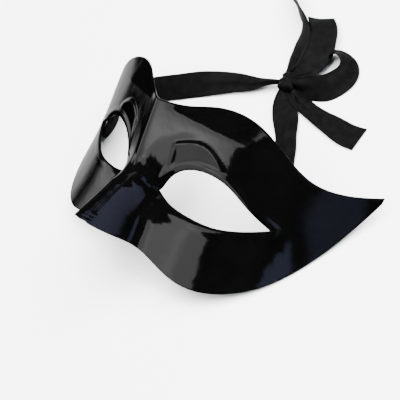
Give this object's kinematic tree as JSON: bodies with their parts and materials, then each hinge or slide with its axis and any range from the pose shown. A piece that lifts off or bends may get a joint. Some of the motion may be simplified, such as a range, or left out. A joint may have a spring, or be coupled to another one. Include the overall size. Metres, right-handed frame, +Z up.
{
  "type": "masquerade half mask",
  "caption": "Glossy black half mask with swept wings, pointed nose ridge and almond eye holes, its ribbon ties knotted in a bow behind it.",
  "frame": {"origin": "on the ground, at the middle of the footprint of the mask and its ribbons, directly under the middle of the bounding box", "axes": "+X towards the wearer's left, -Y the way the lying mask faces, +Z up from the ground"},
  "size_m": [0.1828, 0.1815, 0.0558],
  "materials": {
    "gloss_black_plastic": "polished outside, matt inside",
    "pad_felt": "matt felt",
    "ribbon_satin": "satin with fine cross ribs"
  },
  "bodies": {
    "root": {"mask_shell": "gloss_black_plastic", "pad_left": "pad_felt", "pad_right": "pad_felt", "bow_knot": "ribbon_satin", "ribbon_left_tie": "ribbon_satin", "ribbon_right_tie": "ribbon_satin", "bow_loop_upper": "ribbon_satin", "bow_loop_side": "ribbon_satin", "bow_tail_lower": "ribbon_satin", "bow_tail_upper": "ribbon_satin"}
  },
  "joints": []
}
